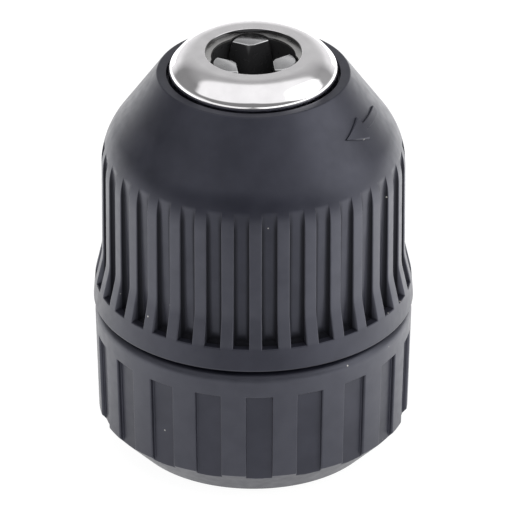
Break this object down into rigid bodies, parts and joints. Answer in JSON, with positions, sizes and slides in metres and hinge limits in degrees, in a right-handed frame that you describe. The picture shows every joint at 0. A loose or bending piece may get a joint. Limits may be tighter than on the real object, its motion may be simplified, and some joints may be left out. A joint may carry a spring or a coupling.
{
  "type": "keyless drill chuck",
  "caption": "Two-sleeve keyless drill chuck: turning the grooved front sleeve drives a split nut that slides inclined jaws to grip a round shank.",
  "frame": {"origin": "centre of the rear end face, the bottom of the rear sleeve", "axes": "+Z along the chuck's axis towards the nose; one jaw lies on the +Y side"},
  "size_m": [0.0382, 0.0382, 0.0515],
  "materials": {
    "sleeve_plastic": "dark grey glass-filled nylon, fine moulded grain",
    "nose_steel": "bright nickel plated turned steel",
    "body_steel": "machined steel",
    "jaw_steel": "hardened ground steel",
    "nut_steel": "hardened steel, lightly oiled",
    "bearing_steel": "hardened polished steel",
    "cage_plastic": "natural nylon"
  },
  "bodies": {
    "body": {"chuck_body": "body_steel", "rear_sleeve": "sleeve_plastic", "nose_piece": "nose_steel", "rear_race": "bearing_steel"},
    "front_sleeve_group": {"front_sleeve": "sleeve_plastic", "nut_half_a": "nut_steel", "nut_half_b": "nut_steel", "nut_band": "nut_steel", "front_race": "bearing_steel"},
    "ball_cage": {"ball_cage": "cage_plastic"},
    "jaw_1": {"jaw_1": "jaw_steel"},
    "jaw_2": {"jaw_2": "jaw_steel"},
    "jaw_3": {"jaw_3": "jaw_steel"},
    "bearing_ball_01": {"bearing_ball_01": "bearing_steel"},
    "bearing_ball_02": {"bearing_ball_02": "bearing_steel"},
    "bearing_ball_03": {"bearing_ball_03": "bearing_steel"},
    "bearing_ball_04": {"bearing_ball_04": "bearing_steel"},
    "bearing_ball_05": {"bearing_ball_05": "bearing_steel"},
    "bearing_ball_06": {"bearing_ball_06": "bearing_steel"},
    "bearing_ball_07": {"bearing_ball_07": "bearing_steel"},
    "bearing_ball_08": {"bearing_ball_08": "bearing_steel"},
    "bearing_ball_09": {"bearing_ball_09": "bearing_steel"},
    "bearing_ball_10": {"bearing_ball_10": "bearing_steel"},
    "bearing_ball_11": {"bearing_ball_11": "bearing_steel"},
    "bearing_ball_12": {"bearing_ball_12": "bearing_steel"},
    "bearing_ball_13": {"bearing_ball_13": "bearing_steel"},
    "bearing_ball_14": {"bearing_ball_14": "bearing_steel"},
    "bearing_ball_15": {"bearing_ball_15": "bearing_steel"}
  },
  "joints": [
    {"name": "front_sleeve_turn", "type": "hinge", "parent": "body", "child": "front_sleeve_group", "pos_m": [0, 0, 0.03], "axis": [0, 0, 1], "range_deg": [-1930, 1970]},
    {"name": "jaw_1_slide", "type": "slide", "parent": "body", "child": "jaw_1", "axis": [0, -0.2588, 0.9659], "range_m": [-0.0091, 0.0089]},
    {"name": "jaw_2_slide", "type": "slide", "parent": "body", "child": "jaw_2", "axis": [0.2241, 0.1294, 0.9659], "range_m": [-0.0091, 0.0089]},
    {"name": "jaw_3_slide", "type": "slide", "parent": "body", "child": "jaw_3", "axis": [-0.2241, 0.1294, 0.9659], "range_m": [-0.0091, 0.0089]},
    {"name": "ball_cage_turn", "type": "hinge", "parent": "body", "child": "ball_cage", "pos_m": [0, 0, 0.0253], "axis": [0, 0, 1], "range_deg": [-970, 990]},
    {"name": "bearing_ball_01_spin", "type": "hinge", "parent": "ball_cage", "child": "bearing_ball_01", "pos_m": [0.0143, 0, 0.0253], "axis": [1, 0, 0], "range_deg": [-17657, 17299]},
    {"name": "bearing_ball_02_spin", "type": "hinge", "parent": "ball_cage", "child": "bearing_ball_02", "pos_m": [0.01306, 0.00582, 0.0253], "axis": [0.9135, 0.4067, 0], "range_deg": [-17657, 17299]},
    {"name": "bearing_ball_03_spin", "type": "hinge", "parent": "ball_cage", "child": "bearing_ball_03", "pos_m": [0.00957, 0.01063, 0.0253], "axis": [0.6691, 0.7431, 0], "range_deg": [-17657, 17299]},
    {"name": "bearing_ball_04_spin", "type": "hinge", "parent": "ball_cage", "child": "bearing_ball_04", "pos_m": [0.00442, 0.0136, 0.0253], "axis": [0.309, 0.9511, 0], "range_deg": [-17657, 17299]},
    {"name": "bearing_ball_05_spin", "type": "hinge", "parent": "ball_cage", "child": "bearing_ball_05", "pos_m": [-0.00149, 0.01422, 0.0253], "axis": [-0.1045, 0.9945, 0], "range_deg": [-17657, 17299]},
    {"name": "bearing_ball_06_spin", "type": "hinge", "parent": "ball_cage", "child": "bearing_ball_06", "pos_m": [-0.00715, 0.01238, 0.0253], "axis": [-0.5, 0.866, 0], "range_deg": [-17657, 17299]},
    {"name": "bearing_ball_07_spin", "type": "hinge", "parent": "ball_cage", "child": "bearing_ball_07", "pos_m": [-0.01157, 0.00841, 0.0253], "axis": [-0.809, 0.5878, 0], "range_deg": [-17657, 17299]},
    {"name": "bearing_ball_08_spin", "type": "hinge", "parent": "ball_cage", "child": "bearing_ball_08", "pos_m": [-0.01399, 0.00297, 0.0253], "axis": [-0.9781, 0.2079, 0], "range_deg": [-17657, 17299]},
    {"name": "bearing_ball_09_spin", "type": "hinge", "parent": "ball_cage", "child": "bearing_ball_09", "pos_m": [-0.01399, -0.00297, 0.0253], "axis": [-0.9781, -0.2079, 0], "range_deg": [-17657, 17299]},
    {"name": "bearing_ball_10_spin", "type": "hinge", "parent": "ball_cage", "child": "bearing_ball_10", "pos_m": [-0.01157, -0.00841, 0.0253], "axis": [-0.809, -0.5878, 0], "range_deg": [-17657, 17299]},
    {"name": "bearing_ball_11_spin", "type": "hinge", "parent": "ball_cage", "child": "bearing_ball_11", "pos_m": [-0.00715, -0.01238, 0.0253], "axis": [-0.5, -0.866, 0], "range_deg": [-17657, 17299]},
    {"name": "bearing_ball_12_spin", "type": "hinge", "parent": "ball_cage", "child": "bearing_ball_12", "pos_m": [-0.00149, -0.01422, 0.0253], "axis": [-0.1045, -0.9945, 0], "range_deg": [-17657, 17299]},
    {"name": "bearing_ball_13_spin", "type": "hinge", "parent": "ball_cage", "child": "bearing_ball_13", "pos_m": [0.00442, -0.0136, 0.0253], "axis": [0.309, -0.9511, 0], "range_deg": [-17657, 17299]},
    {"name": "bearing_ball_14_spin", "type": "hinge", "parent": "ball_cage", "child": "bearing_ball_14", "pos_m": [0.00957, -0.01063, 0.0253], "axis": [0.6691, -0.7431, 0], "range_deg": [-17657, 17299]},
    {"name": "bearing_ball_15_spin", "type": "hinge", "parent": "ball_cage", "child": "bearing_ball_15", "pos_m": [0.01306, -0.00582, 0.0253], "axis": [0.9135, -0.4067, 0], "range_deg": [-17657, 17299]}
  ],
  "couplings": [
    {"joint": "jaw_1_slide", "follows": "front_sleeve_turn", "m_per_rad": -0.00026363},
    {"joint": "jaw_2_slide", "follows": "front_sleeve_turn", "m_per_rad": -0.00026363},
    {"joint": "jaw_3_slide", "follows": "front_sleeve_turn", "m_per_rad": -0.00026363},
    {"joint": "ball_cage_turn", "follows": "front_sleeve_turn", "ratio": 0.5},
    {"joint": "bearing_ball_01_spin", "follows": "front_sleeve_turn", "ratio": -8.9375},
    {"joint": "bearing_ball_02_spin", "follows": "front_sleeve_turn", "ratio": -8.9375},
    {"joint": "bearing_ball_03_spin", "follows": "front_sleeve_turn", "ratio": -8.9375},
    {"joint": "bearing_ball_04_spin", "follows": "front_sleeve_turn", "ratio": -8.9375},
    {"joint": "bearing_ball_05_spin", "follows": "front_sleeve_turn", "ratio": -8.9375},
    {"joint": "bearing_ball_06_spin", "follows": "front_sleeve_turn", "ratio": -8.9375},
    {"joint": "bearing_ball_07_spin", "follows": "front_sleeve_turn", "ratio": -8.9375},
    {"joint": "bearing_ball_08_spin", "follows": "front_sleeve_turn", "ratio": -8.9375},
    {"joint": "bearing_ball_09_spin", "follows": "front_sleeve_turn", "ratio": -8.9375},
    {"joint": "bearing_ball_10_spin", "follows": "front_sleeve_turn", "ratio": -8.9375},
    {"joint": "bearing_ball_11_spin", "follows": "front_sleeve_turn", "ratio": -8.9375},
    {"joint": "bearing_ball_12_spin", "follows": "front_sleeve_turn", "ratio": -8.9375},
    {"joint": "bearing_ball_13_spin", "follows": "front_sleeve_turn", "ratio": -8.9375},
    {"joint": "bearing_ball_14_spin", "follows": "front_sleeve_turn", "ratio": -8.9375},
    {"joint": "bearing_ball_15_spin", "follows": "front_sleeve_turn", "ratio": -8.9375}
  ]
}
